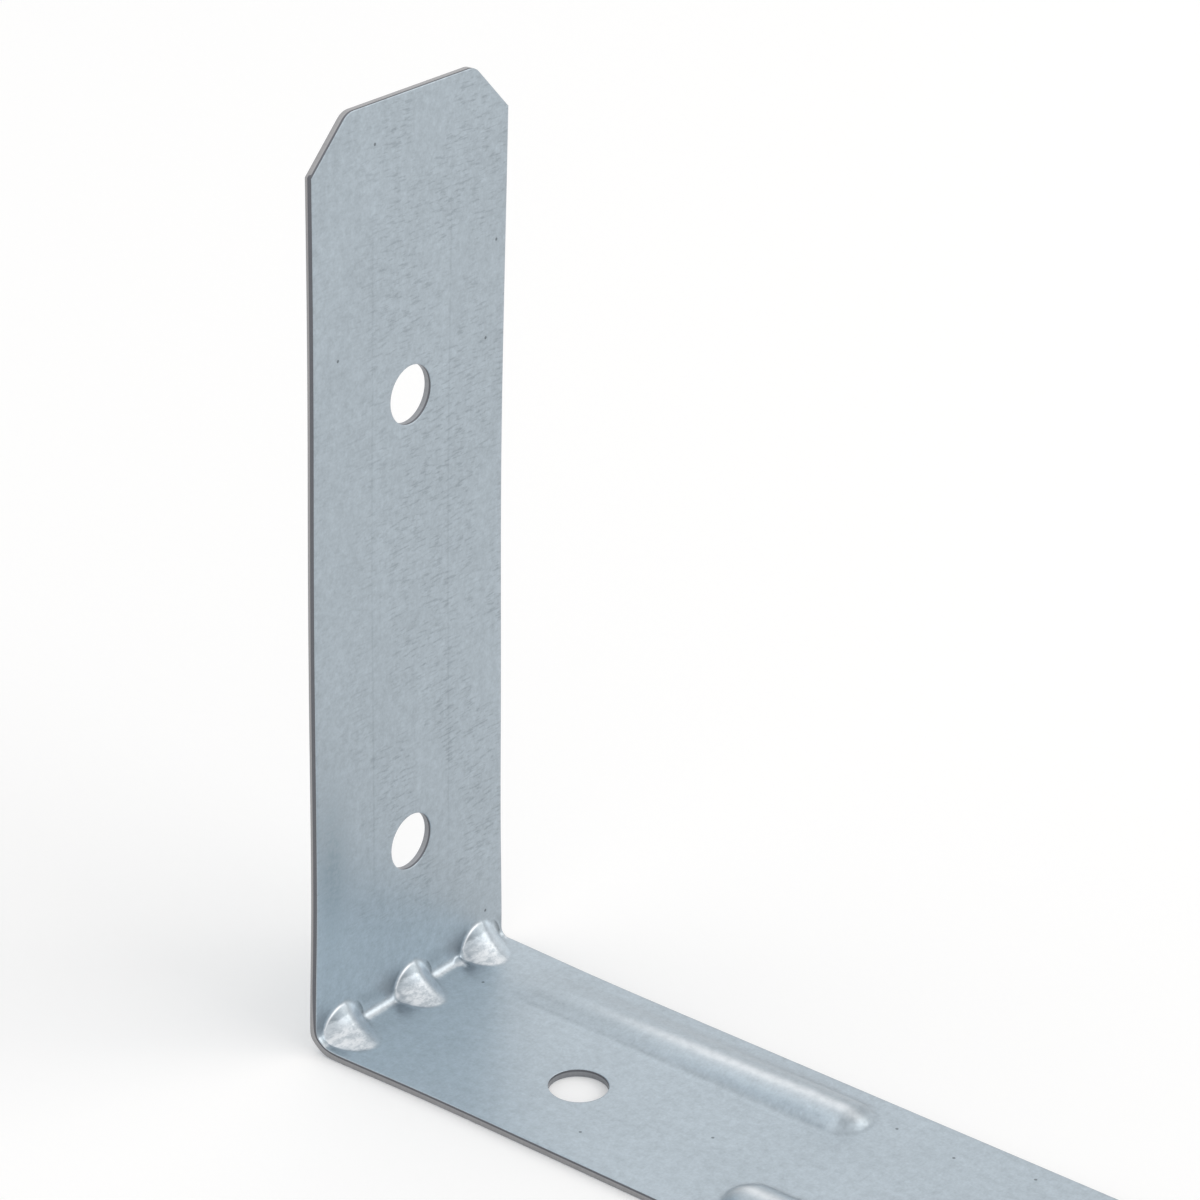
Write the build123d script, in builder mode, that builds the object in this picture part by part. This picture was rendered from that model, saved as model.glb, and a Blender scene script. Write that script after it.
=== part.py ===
from build123d import *
import os
from math import radians, sin

# Strap tie: one strip of galvanised steel, folded once into an L.
# +X runs along the long leg, +Y across the strip, +Z up the short leg. Millimetres.
# The origin is the outer corner of the fold, in the middle of the strip's width.

# Strip and fold
SHEET = 0.9
WIDTH = 29.0
LONG_LEG = 500.0
SHORT_LEG = 100.0
FOLD_INSIDE_RADIUS = 1.0
FOLD_OUTSIDE_RADIUS = FOLD_INSIDE_RADIUS + SHEET

# Cropped corners of the two ends, cut at 45 degrees and rounded towards the end
CORNER_CROP = 5.2
CROP_ROUNDING = 2.0

# Nail holes: a straight row in the short leg, a staggered row in the long leg
HOLE_DIAMETER = 6.2
SHORT_HOLE_COUNT = 2
SHORT_HOLE_PITCH = 50.0
SHORT_FIRST_HOLE = 18.6
LONG_HOLE_PITCH = 50.0
LONG_FIRST_HOLE = 26.2
LONG_HOLE_STAGGER = 3.4
LONG_HOLE_MARGIN = 20.0

# Pressed ribs: one beside each hole of the long leg, on the other side of the middle
RIB_LENGTH = 55.6
RIB_WIDTH = 6.8
RIB_RISE = 1.35
RIB_OFFSET = 9.2
RIB_MARGIN = 6.0

# The rib beside the fold rises slowly out of the flat
FADE_START = 8.9
FADE_LENGTH = 34.0
FADE_RISE = 0.2

# Gussets: round darts pressed into the corner, sloping across the fold
GUSSET_COUNT = 3
GUSSET_PITCH = 10.8
GUSSET_RADIUS = 3.1
GUSSET_SLOPE = 38.0

# Roundings left by the press: at the foot of a rib, and along every other pressed edge
FOOT_FILLET = 0.6
RIM_FILLET = 0.4

# Pressed forms run this far past the sheet's face, so that they join it cleanly
PRESS_OVERLAP = 0.05

# Places that follow from the sizes above
HALF_WIDTH = WIDTH / 2
HOLE_RADIUS = HOLE_DIAMETER / 2
RIB_END_RADIUS = RIB_WIDTH / 2
LONG_HOLE_COUNT = 1 + int((LONG_LEG - LONG_HOLE_MARGIN - LONG_FIRST_HOLE) // LONG_HOLE_PITCH)
RIB_COUNT = 1 + int((LONG_LEG - RIB_MARGIN - RIB_LENGTH / 2 - LONG_FIRST_HOLE) // LONG_HOLE_PITCH)
GUSSET_REACH = GUSSET_RADIUS / sin(radians(GUSSET_SLOPE))


def crown_radius(rise):
    """Radius of the arc that spans the rib's width and rises this high in its middle."""
    return (RIB_END_RADIUS**2 + rise**2) / (2 * rise)


def crown(rise, inset):
    """Section across a rib: the arc, cut off just below the face that it stands on."""
    with BuildSketch() as section:
        with Locations((0, SHEET + rise - crown_radius(rise))):
            Circle(crown_radius(rise) - inset)
        with Locations((0, SHEET - inset - PRESS_OVERLAP)):
            Rectangle(
                2 * RIB_WIDTH, RIB_WIDTH, align=(Align.CENTER, Align.MIN), mode=Mode.INTERSECT
            )
    return section.sketch


def pressed_rib(start, full, tip, start_rise, inset):
    """A rib along +X, from a low round start to a full round tip.

    start and tip are the middles of the round ends, and full is where the crown has its height.
    An inset of the sheet's thickness gives the hollow that the punch leaves on the outer face.
    """
    with BuildPart() as rib:
        for near, far, near_rise in ((start, full, start_rise), (full, tip, RIB_RISE)):
            with BuildSketch(Plane.YZ.offset(near)):
                add(crown(near_rise, inset))
            with BuildSketch(Plane.YZ.offset(far)):
                add(crown(RIB_RISE, inset))
            loft()
        for place, rise in ((start, start_rise), (tip, RIB_RISE)):
            with BuildSketch(Plane.YZ.offset(place)):
                add(crown(rise, inset))
                split(bisect_by=Plane.YZ)
            revolve(axis=Axis((place, 0, 0), (0, 0, 1)))
    return rib.part


def pressed_gussets(inset):
    """The round bars that press the darts into the corner. An inset gives their hollows."""
    slope = Plane((SHEET, 0, SHEET), x_dir=(0, 1, 0), z_dir=(1, 0, 0)).rotated((0, GUSSET_SLOPE, 0))
    with BuildPart() as bars:
        with BuildSketch(slope):
            with GridLocations(GUSSET_PITCH, 0, GUSSET_COUNT, 1):
                Circle(GUSSET_RADIUS - inset)
        extrude(amount=2 * GUSSET_REACH, both=True)
    return bars.part


def long_leg_middle(number):
    """X of a hole of the long leg, and of the rib beside it."""
    return LONG_FIRST_HOLE + number * LONG_HOLE_PITCH


def turn(number):
    """The side that a rib lies on: +1 for the first and every other one, -1 between them."""
    return (-1) ** number


# Places of the holes, and of the ribs beside them
short_holes = [(0, SHORT_FIRST_HOLE + number * SHORT_HOLE_PITCH) for number in range(SHORT_HOLE_COUNT)]
long_holes = [
    (long_leg_middle(number), -LONG_HOLE_STAGGER * turn(number)) for number in range(LONG_HOLE_COUNT)
]
first_place = Location((0, RIB_OFFSET, 0))
rib_places = [
    Location((long_leg_middle(number), RIB_OFFSET * turn(number), 0)) for number in range(1, RIB_COUNT)
]

# Ribs, and the hollows under them
rib_half = RIB_LENGTH / 2 - RIB_END_RADIUS
fade_start = FADE_START + RIB_END_RADIUS
fade_end = fade_start + FADE_LENGTH
first_tip = LONG_FIRST_HOLE + rib_half
first_rib, first_hollow = [
    pressed_rib(fade_start, fade_end, first_tip, FADE_RISE, inset) for inset in (0, SHEET)
]
rib, rib_hollow = [pressed_rib(-rib_half, 0, rib_half, RIB_RISE, inset) for inset in (0, SHEET)]

# The room inside the fold: nothing pressed into the corner stands out of it
with BuildPart() as fold_room:
    with BuildSketch(Plane.XZ) as quarter:
        Rectangle(LONG_LEG, SHORT_LEG, align=(Align.MIN, Align.MIN))
        fillet(quarter.vertices().sort_by_distance((0, 0, 0))[0], FOLD_OUTSIDE_RADIUS)
    extrude(amount=HALF_WIDTH, both=True)

with BuildPart() as gusset_bodies:
    add(pressed_gussets(0))
    add(fold_room.part, mode=Mode.INTERSECT)

with BuildPart() as strap:
    # Long leg, flat on the ground plane
    with BuildSketch(Plane.XY) as long_outline:
        with Locations((FOLD_OUTSIDE_RADIUS, 0)):
            Rectangle(LONG_LEG - FOLD_OUTSIDE_RADIUS, WIDTH, align=(Align.MIN, Align.CENTER))
        chamfer(long_outline.vertices().group_by(Axis.X)[-1], CORNER_CROP)
        fillet(long_outline.vertices().group_by(Axis.X)[-1], CROP_ROUNDING)
        with Locations(long_holes):
            Circle(HOLE_RADIUS, mode=Mode.SUBTRACT)
    extrude(amount=SHEET)

    # Short leg, upright
    with BuildSketch(Plane.YZ) as short_outline:
        with Locations((0, FOLD_OUTSIDE_RADIUS)):
            Rectangle(WIDTH, SHORT_LEG - FOLD_OUTSIDE_RADIUS, align=(Align.CENTER, Align.MIN))
        chamfer(short_outline.vertices().group_by(Axis.Y)[-1], CORNER_CROP)
        fillet(short_outline.vertices().group_by(Axis.Y)[-1], CROP_ROUNDING)
        with Locations(short_holes):
            Circle(HOLE_RADIUS, mode=Mode.SUBTRACT)
    extrude(amount=SHEET)

    # Fold between the legs
    with BuildSketch(Plane.XZ):
        with Locations((FOLD_OUTSIDE_RADIUS, FOLD_OUTSIDE_RADIUS)):
            Circle(FOLD_OUTSIDE_RADIUS)
            Circle(FOLD_INSIDE_RADIUS, mode=Mode.SUBTRACT)
        Rectangle(
            FOLD_OUTSIDE_RADIUS, FOLD_OUTSIDE_RADIUS, align=(Align.MIN, Align.MIN), mode=Mode.INTERSECT
        )
    extrude(amount=HALF_WIDTH, both=True)

    # Ribs stand out of the long leg's inner face and are hollow from outside
    with Locations(first_place):
        add(first_rib)
    fillet(strap.edges(Select.LAST).group_by(Axis.Z)[0], FOOT_FILLET)
    with Locations(rib_places):
        add(rib)
    fillet(strap.edges(Select.LAST).group_by(Axis.Z)[0], FOOT_FILLET)
    with Locations(first_place):
        add(first_hollow, mode=Mode.SUBTRACT)
    fillet(strap.edges(Select.LAST).group_by(Axis.Z)[0], RIM_FILLET)
    with Locations(rib_places):
        add(rib_hollow, mode=Mode.SUBTRACT)
    fillet(strap.edges(Select.LAST).group_by(Axis.Z)[0], RIM_FILLET)

    # Gussets cross the fold and are hollow from outside
    add(gusset_bodies.part)
    fillet(strap.edges(Select.LAST).filter_by(GeomType.LINE, reverse=True), RIM_FILLET)
    add(pressed_gussets(SHEET), mode=Mode.SUBTRACT)
    fillet(strap.edges(Select.LAST).filter_by(GeomType.LINE, reverse=True), RIM_FILLET)

strap.part.label = "strap"
os.makedirs("parts", exist_ok=True)
export_step(strap.part, "parts/strap.step")
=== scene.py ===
"""A folded strap tie of galvanised steel, dressed and lit for a studio render.

The strap is laid out as a flat blank, cut round and punched, and then pressed
and folded by a Geometry Nodes tree, as the real one is on its press. The blank
and the press work in millimetres; the press's last step brings the strap to
metres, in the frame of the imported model.
"""

import logging
import math
from dataclasses import dataclass, field
from enum import Enum
from typing import ClassVar

import bpy
import numpy as np
from mathutils import Matrix, Vector
from mathutils.geometry import delaunay_2d_cdt


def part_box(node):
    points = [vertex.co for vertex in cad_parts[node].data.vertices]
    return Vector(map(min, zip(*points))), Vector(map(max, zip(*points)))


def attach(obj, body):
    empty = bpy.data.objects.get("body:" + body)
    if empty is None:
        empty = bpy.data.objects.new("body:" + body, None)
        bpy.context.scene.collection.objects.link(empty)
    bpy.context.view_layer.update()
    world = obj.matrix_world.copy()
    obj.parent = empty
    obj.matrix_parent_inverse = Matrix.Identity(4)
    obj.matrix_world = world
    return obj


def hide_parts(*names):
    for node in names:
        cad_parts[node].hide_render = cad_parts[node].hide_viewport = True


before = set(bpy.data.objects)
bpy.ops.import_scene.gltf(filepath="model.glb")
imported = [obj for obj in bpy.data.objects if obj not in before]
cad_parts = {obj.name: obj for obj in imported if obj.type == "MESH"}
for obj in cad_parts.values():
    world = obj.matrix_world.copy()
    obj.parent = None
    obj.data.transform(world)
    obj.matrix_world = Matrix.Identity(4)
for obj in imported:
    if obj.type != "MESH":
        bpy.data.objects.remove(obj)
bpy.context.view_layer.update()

MM = 0.001
LOG = logging.getLogger("strap_tie")

# Where an eased step starts and ends, or where a band's middle lies and how far it spreads
Span = tuple[float, float]
Rgb = tuple[float, float, float]
Place = tuple[float, float, float]


class Face(Enum):
    """The two faces of the sheet, by their place through its thickness."""

    OUTER = 0.0
    INNER = 1.0


class Mark(Enum):
    """Names of the attributes that the strap's mesh carries for its finishes."""

    BLANK = "blank_place"
    CUT = "cut_edge"
    RIB = "rib_place"
    GUSSET = "gusset_place"


# wiring


class Wire:
    """A node's output in an expression: its operators add the nodes they stand for."""

    def __init__(self, board: "Board", socket: bpy.types.NodeSocket) -> None:
        """Holds an output socket and the board that it is on.

        Args:
            board: The board that new nodes are added to.
            socket: The output socket that this wire carries.
        """
        self.board = board
        self.socket = socket

    def math(self, operation: str, *others: "Wire | float") -> "Wire":
        """Adds a Math node with this wire first.

        Args:
            operation: The Math node's operation.
            others: The values of its other sockets.

        Returns:
            The node's result.
        """
        values = dict(enumerate((self, *others)))
        return self.board.wire("ShaderNodeMath", {"operation": operation}, values)

    def __add__(self, other: "Wire | float") -> "Wire":
        """Returns the sum."""
        return self.math("ADD", other)

    def __radd__(self, other: float) -> "Wire":
        """Returns the sum, with the number first."""
        return self.math("ADD", other)

    def __sub__(self, other: "Wire | float") -> "Wire":
        """Returns the difference."""
        return self.math("SUBTRACT", other)

    def __rsub__(self, other: float) -> "Wire":
        """Returns the number less this wire."""
        return self.board.number(other).math("SUBTRACT", self)

    def __mul__(self, other: "Wire | float") -> "Wire":
        """Returns the product."""
        return self.math("MULTIPLY", other)

    def __rmul__(self, other: float) -> "Wire":
        """Returns the product, with the number first."""
        return self.math("MULTIPLY", other)

    def __truediv__(self, other: "Wire | float") -> "Wire":
        """Returns the quotient."""
        return self.math("DIVIDE", other)

    def __rtruediv__(self, other: float) -> "Wire":
        """Returns the number over this wire."""
        return self.board.number(other).math("DIVIDE", self)

    def __pow__(self, other: "Wire | float") -> "Wire":
        """Returns the power."""
        return self.math("POWER", other)

    def __neg__(self) -> "Wire":
        """Returns the wire times minus one."""
        return self.math("MULTIPLY", -1.0)

    def at_least(self, other: "Wire | float") -> "Wire":
        """Returns the larger of the two."""
        return self.math("MAXIMUM", other)

    def at_most(self, other: "Wire | float") -> "Wire":
        """Returns the smaller of the two."""
        return self.math("MINIMUM", other)

    def within(self, low: "Wire | float", high: "Wire | float") -> "Wire":
        """Returns the wire, held between two limits."""
        return self.at_least(low).at_most(high)

    def raised(self, blend: "Wire | float") -> "Wire":
        """Returns the part above zero, with a fillet of this size at the foot."""
        return self.math("SMOOTH_MAX", 0.0, blend)

    def ramp(self, low: "Wire | float", high: "Wire | float") -> "Wire":
        """Returns an eased step from 0 at low to 1 at high."""
        share = ((self - low) / (high - low)).within(0.0, 1.0)
        return share * share * (3.0 - 2.0 * share)

    def bump(self, centre: "Wire | float", spread: "Wire | float") -> "Wire":
        """Returns a bell curve of height 1 about a centre."""
        away = (self - centre) / spread
        return (-(away * away)).math("EXPONENT")

    def above(self, floor: float) -> "Wire":
        """Returns a share from 0 to 1, brought to lie between a floor and 1."""
        return floor + (1.0 - floor) * self

    def dimmed(self, share: "Wire") -> "Wire":
        """Returns the wire with this share of it taken away."""
        return self * (1.0 - share)


class Board:
    """A node tree that is being wired. One method adds any node.

    RELIEF_DEPTH is the depth of a finish's fine relief, in metres.
    """

    RELIEF_DEPTH = 0.00004

    def __init__(self, tree: bpy.types.NodeTree) -> None:
        """Holds the tree.

        Args:
            tree: The node tree to add nodes to.
        """
        self.tree = tree

    def node(
        self,
        kind: str,
        settings: dict[str, object] | None = None,
        values: dict[int | str, object] | None = None,
    ) -> bpy.types.Node:
        """Adds a node, sets it, and fills its sockets.

        Args:
            kind: The node's type.
            settings: Its properties.
            values: Numbers, colours or wires, by socket index or name.

        Returns:
            The new node.
        """
        made = self.tree.nodes.new(kind)
        for name, value in (settings or {}).items():
            setattr(made, name, value)
        for key, value in (values or {}).items():
            if isinstance(value, Wire):
                self.tree.links.new(value.socket, made.inputs[key])
            else:
                made.inputs[key].default_value = value
        return made

    def wire(
        self,
        kind: str,
        settings: dict[str, object] | None = None,
        values: dict[int | str, object] | None = None,
        output: int | str = 0,
    ) -> Wire:
        """Adds a node and returns one of its outputs.

        Args:
            kind: The node's type.
            settings: Its properties.
            values: Numbers, colours or wires, by socket index or name.
            output: The index or name of the output.

        Returns:
            That output as a wire.
        """
        return Wire(self, self.node(kind, settings, values).outputs[output])

    def number(self, value: float) -> Wire:
        """Returns a number as a wire."""
        made = self.node("ShaderNodeMath", {"operation": "ADD"}, {0: value, 1: 0.0})
        return Wire(self, made.outputs[0])

    def mix(self, share: Wire | float, first: object, second: object) -> Wire:
        """Mixes two numbers: the first at 0, the second at 1."""
        return self.wire("ShaderNodeMix", {"data_type": "FLOAT"}, {0: share, 2: first, 3: second})

    def tint(
        self, share: Wire | float, first: object, second: object, blend: str = "MIX"
    ) -> Wire:
        """Mixes two colours.

        Args:
            share: How much of the second colour is laid on.
            first: The colour below.
            second: The colour laid on it.
            blend: The Mix node's blend type.

        Returns:
            The mixed colour.
        """
        settings = {"data_type": "RGBA", "blend_type": blend, "clamp_factor": True}
        values = {0: share, 6: first, 7: second}
        return self.wire("ShaderNodeMix", settings, values, output=2)

    def axes(self, vector: Wire) -> tuple[Wire, Wire, Wire]:
        """Takes a vector apart."""
        made = self.node("ShaderNodeSeparateXYZ", None, {0: vector})
        return tuple(Wire(self, socket) for socket in made.outputs)

    def vector(self, x: Wire | float, y: Wire | float, z: Wire | float) -> Wire:
        """Puts a vector together."""
        return self.wire("ShaderNodeCombineXYZ", None, {0: x, 1: y, 2: z})

    def shaded(self, colour: object, shade: Wire) -> Wire:
        """Returns a colour made lighter or darker by a factor."""
        return self.tint(1.0, colour, self.vector(shade, shade, shade), "MULTIPLY")

    def carried(self, mark: Mark) -> Wire:
        """Returns a vector that the mesh carries, as a material reads it."""
        return self.wire("ShaderNodeAttribute", {"attribute_name": mark.value}, output="Vector")

    def end_in_metal(
        self, colour: Wire, metallic: float, roughness: Wire | float, height: Wire, relief: float
    ) -> None:
        """Ends a material in a metal's shader.

        Args:
            colour: The metal's colour.
            metallic: How metallic it is.
            roughness: How rough it is.
            height: The height of its fine relief.
            relief: The relief's strength.
        """
        values = {"Strength": relief, "Distance": self.RELIEF_DEPTH, "Height": height}
        normal = self.wire("ShaderNodeBump", None, values, output="Normal")
        values = {"Base Color": colour, "Metallic": metallic, "Roughness": roughness}
        metal = self.wire("ShaderNodeBsdfPrincipled", None, {**values, "Normal": normal})
        self.node("ShaderNodeOutputMaterial", None, {"Surface": metal})


def empty_material(name: str) -> tuple[bpy.types.Material, Board]:
    """Makes a material with an empty tree.

    Args:
        name: The material's name.

    Returns:
        The material, and the board of its tree.
    """
    made = bpy.data.materials.new(name)
    made.use_nodes = True
    made.node_tree.nodes.clear()
    return made, Board(made.node_tree)


def opaque(colour: Rgb) -> tuple[float, float, float, float]:
    """Returns a colour with its alpha, as a socket takes it."""
    return (*colour, 1.0)


# blank


@dataclass(frozen=True)
class EdgeStep:
    """A ring of a cut edge.

    Attributes:
        inset: How far the ring lies inside the cut line, in millimetres.
        depth: Its place through the sheet, from 0, outer, to 1, inner.
        cut: Whether it belongs to the bare cut, and not to a coated face.
    """

    inset: float
    depth: float
    cut: bool = False


SHEARED_PROFILE = (
    EdgeStep(0.35, 1.0),
    EdgeStep(0.07, 1.0),
    EdgeStep(0.02, 0.982),
    EdgeStep(0.0, 0.93, cut=True),
    EdgeStep(0.0, 0.66, cut=True),
    EdgeStep(0.022, 0.60, cut=True),
    EdgeStep(0.015, 0.05, cut=True),
    EdgeStep(0.05, 0.0),
    EdgeStep(0.35, 0.0),
)


class CutLine:
    """A closed cut in the blank, with the metal on its left."""

    def __init__(self, points: np.ndarray) -> None:
        """Holds the cut's points.

        Args:
            points: The points in order, as rows of (u, v).
        """
        self.points = points

    @staticmethod
    def _along(steps: np.ndarray) -> np.ndarray:
        """Returns steps brought to length 1."""
        return steps / np.linalg.norm(steps, axis=1, keepdims=True)

    def inset(self, distance: float) -> np.ndarray:
        """Moves the line into the metal.

        Args:
            distance: How far.

        Returns:
            The moved points.
        """
        ahead = self._along(np.roll(self.points, -1, axis=0) - self.points)
        behind = np.roll(ahead, 1, axis=0)
        left_ahead = np.stack([-ahead[:, 1], ahead[:, 0]], axis=1)
        left_behind = np.stack([-behind[:, 1], behind[:, 0]], axis=1)
        bisector = self._along(left_ahead + left_behind)
        reach = np.sum(bisector * left_ahead, axis=1, keepdims=True)
        return self.points + distance * bisector / reach


@dataclass(frozen=True)
class PointPatch:
    """A part of the blank whose points lie at one spacing, in staggered rows."""

    low: tuple[float, float]
    high: tuple[float, float]
    pitch: tuple[float, float]

    def points(self) -> np.ndarray:
        """Returns the patch's points as rows of (u, v)."""
        counts = [
            max(2, round((self.high[i] - self.low[i]) / self.pitch[i]) + 1) for i in (0, 1)
        ]
        u, v = (np.linspace(self.low[i], self.high[i], counts[i]) for i in (0, 1))
        grid_u, grid_v = np.meshgrid(u, v)
        grid_u[1::2] += (u[1] - u[0]) / 2
        grid = np.stack([grid_u.ravel(), grid_v.ravel()], axis=1)
        return grid[self.holds(grid)]

    def holds(self, places: np.ndarray) -> np.ndarray:
        """Tells which places lie in the patch."""
        return np.all((places >= self.low) & (places <= self.high), axis=1)


@dataclass(frozen=True)
class StrapSizes:
    """The strap's sizes in millimetres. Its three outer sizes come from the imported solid.

    The gussets' saddle, the edge's rise and the facet's lift are shares of a
    gusset's reach and climb. The facet is the small dome by the far gusset, and
    the edge rises where the fold's near end is drawn in.
    """

    long_leg: float
    width: float
    short_leg: float
    sheet: float = 0.9
    fold_inside_radius: float = 1.0
    corner_crop: float = 5.2
    crop_rounding: float = 2.0
    hole_diameter: float = 6.2
    short_hole_heights: tuple[float, ...] = (18.6, 68.6)
    pattern_pitch: float = 50.0
    pattern_start: float = 26.2
    hole_count: int = 10
    hole_stagger: float = 3.4
    rib_count: int = 9
    rib_length: float = 54.0
    rib_end: float = 3.0
    rib_width: float = 6.8
    rib_rise: float = 1.35
    rib_offset: float = 9.2
    fade_start: float = 8.9
    fade_full: float = 46.3
    fade_rise: float = 0.2
    gusset_count: int = 3
    gusset_pitch: float = 10.85
    gusset_shift: float = 0.2
    gusset_skew: float = 0.2
    gusset_half_width: float = 3.15
    gusset_reach: float = 4.7
    reach_loss: float = 0.35
    gusset_climb: float = 3.35
    gusset_saddle: float = 0.87
    edge_rise: float = 0.26
    facet_place: float = 7.2
    facet_half_width: float = 0.8
    facet_lift: float = 0.27

    @classmethod
    def of_node(cls, node: str) -> "StrapSizes":
        """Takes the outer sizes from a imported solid's box.

        Args:
            node: The solid's name.

        Returns:
            The strap's sizes.
        """
        low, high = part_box(node)
        length, width, height = (round((high[i] - low[i]) / MM, 3) for i in range(3))
        return cls(long_leg=length, width=width, short_leg=height)

    @property
    def half_width(self) -> float:
        """Half the strap's width."""
        return self.width / 2

    @property
    def fold_outside_radius(self) -> float:
        """The radius of the fold's outer face."""
        return self.fold_inside_radius + self.sheet

    @property
    def fold_length(self) -> float:
        """The flat length that the fold takes up, at the middle of the sheet."""
        return math.pi / 2 * (self.fold_inside_radius + self.sheet / 2)

    @property
    def flat_start(self) -> float:
        """Where the short leg's tip lies on the flat blank."""
        return self.flat_at_height(self.short_leg)

    def flat_at_height(self, height: float) -> float:
        """Returns the place on the flat blank that ends up at this height."""
        return 2 * self.fold_outside_radius - self.fold_length - height


class Blank:
    """The flat blank: its cut outline, its punched holes and its mesh.

    A pitch is how far the mesh's points lie apart, along and across. A room is
    what a patch of points has round its form, and points keep clear of a cut.
    """

    FINE = 0.24
    EDGE_STEP = 1.5
    HOLE_STEPS = 64
    ROUND_STEPS = 6
    CORNER_HOLD = 0.3
    FOLD_ROOM = (-8.6, 9.6)
    RIB_SIDE_ROOM = 1.1
    RIB_END_ROOM = 1.2
    RIB_TIP_PITCH = (0.5, 0.46)
    RIB_PITCH = (1.1, 0.46)
    FLAT_PITCH = (3.2, 2.6)
    PATCH_GAP = 0.35
    EDGE_CLEAR = 0.55
    TIP_CLEAR = 1.5
    HOLE_CLEAR = 0.3
    CROP_CLEAR = 1.2
    CDT_INSIDE = 1
    CDT_CLOSENESS = 1e-5
    SAME_PLACE = 1e-9
    SLIVER = 1e-4

    def __init__(self, sizes: StrapSizes) -> None:
        """Holds the strap's sizes.

        Args:
            sizes: The sizes to lay out.
        """
        self.sizes = sizes

    def _rounded(
        self, before: np.ndarray, corner: np.ndarray, after: np.ndarray, radius: float
    ) -> list[np.ndarray]:
        """Rounds a corner of the outline, or keeps it crisp.

        Args:
            before: The corner before it.
            corner: The corner.
            after: The corner after it.
            radius: The rounding's radius, or 0 for a crisp corner.

        Returns:
            The points of the corner, in order.
        """
        into = (corner - before) / np.linalg.norm(corner - before)
        out = (after - corner) / np.linalg.norm(after - corner)
        if radius == 0.0:
            return [corner - into * self.CORNER_HOLD, corner, corner + out * self.CORNER_HOLD]
        turn = math.acos(float(np.clip(into @ out, -1.0, 1.0)))
        tangent = radius * math.tan(turn / 2)
        start = corner - into * tangent
        left = np.array([-into[1], into[0]])
        angles = np.linspace(0.0, turn, self.ROUND_STEPS + 1)
        return [
            start + radius * (into * math.sin(a) + left * (1 - math.cos(a))) for a in angles
        ]

    def _edge_places(self, start: float, end: float) -> np.ndarray:
        """Returns the places of a long edge's points, closer together by the fold."""
        low, high = self.FOLD_ROOM
        coarse = np.arange(start + self.EDGE_STEP, end - self.EDGE_STEP / 2, self.EDGE_STEP)
        coarse = coarse[(coarse < low) | (coarse > high)]
        return np.sort(np.concatenate([coarse, np.arange(low, high, self.FINE)]))

    def outline(self) -> CutLine:
        """Returns the blank's outline, with its cropped corners."""
        s = self.sizes
        start, end, half, crop = s.flat_start, s.long_leg, s.half_width, s.corner_crop
        crisp, rounded = 0.0, s.crop_rounding
        corners = [
            ((start + crop, -half), crisp),
            ((end - crop, -half), crisp),
            ((end, -half + crop), rounded),
            ((end, half - crop), rounded),
            ((end - crop, half), crisp),
            ((start + crop, half), crisp),
            ((start, half - crop), rounded),
            ((start, -half + crop), rounded),
        ]
        places = [np.array(place, float) for place, _ in corners]
        arcs = [
            self._rounded(places[i - 1], places[i], places[(i + 1) % len(places)], corners[i][1])
            for i in range(len(places))
        ]
        points: list[np.ndarray] = []
        for i, arc in enumerate(arcs):
            points += arc
            leaving, reaching = arc[-1], arcs[(i + 1) % len(arcs)][0]
            if abs(leaving[1] - reaching[1]) < self.SAME_PLACE:
                low, high = sorted((leaving[0], reaching[0]))
                along = self._edge_places(low, high)
                if reaching[0] < leaving[0]:
                    along = along[::-1]
                points += [np.array([u, leaving[1]]) for u in along]
            else:
                count = int(np.linalg.norm(reaching - leaving) / self.EDGE_STEP)
                points += [
                    leaving + (reaching - leaving) * k / (count + 1) for k in range(1, count + 1)
                ]
        return CutLine(np.array(points))

    def hole_places(self) -> list[tuple[float, float]]:
        """Returns the middles of the nail holes on the flat blank."""
        s = self.sizes
        short = [(s.flat_at_height(height), 0.0) for height in s.short_hole_heights]
        long = [
            (s.pattern_start + k * s.pattern_pitch, -s.hole_stagger * (-1) ** k)
            for k in range(s.hole_count)
        ]
        return short + long

    def hole(self, place: tuple[float, float]) -> CutLine:
        """Returns the cut of one hole, with the metal on its left."""
        angles = -np.linspace(0.0, math.tau, self.HOLE_STEPS, endpoint=False)
        ring = np.stack([np.cos(angles), np.sin(angles)], axis=1)
        return CutLine(np.array(place) + ring * self.sizes.hole_diameter / 2)

    def patches(self) -> list[PointPatch]:
        """Returns the patches of points, the finest first."""
        s = self.sizes
        margin, tip = s.half_width - self.EDGE_CLEAR, s.rib_width
        low, high = self.FOLD_ROOM
        found = [PointPatch((low, -margin), (high, margin), (self.FINE, self.FINE))]
        side, half = s.rib_width / 2 + self.RIB_SIDE_ROOM, s.rib_length / 2
        for k in range(s.rib_count):
            middle, offset = s.pattern_start + k * s.pattern_pitch, s.rib_offset * (-1) ** k
            low, high = middle - half - self.RIB_END_ROOM, middle + half + self.RIB_END_ROOM
            for start, end, pitch in (
                (low, low + tip, self.RIB_TIP_PITCH),
                (high - tip, high, self.RIB_TIP_PITCH),
                (low + tip, high - tip, self.RIB_PITCH),
            ):
                found.append(PointPatch((start, offset - side), (end, offset + side), pitch))
        start, end = s.flat_start + self.TIP_CLEAR, s.long_leg - self.TIP_CLEAR
        found.append(PointPatch((start, -margin), (end, margin), self.FLAT_PITCH))
        return found

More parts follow.
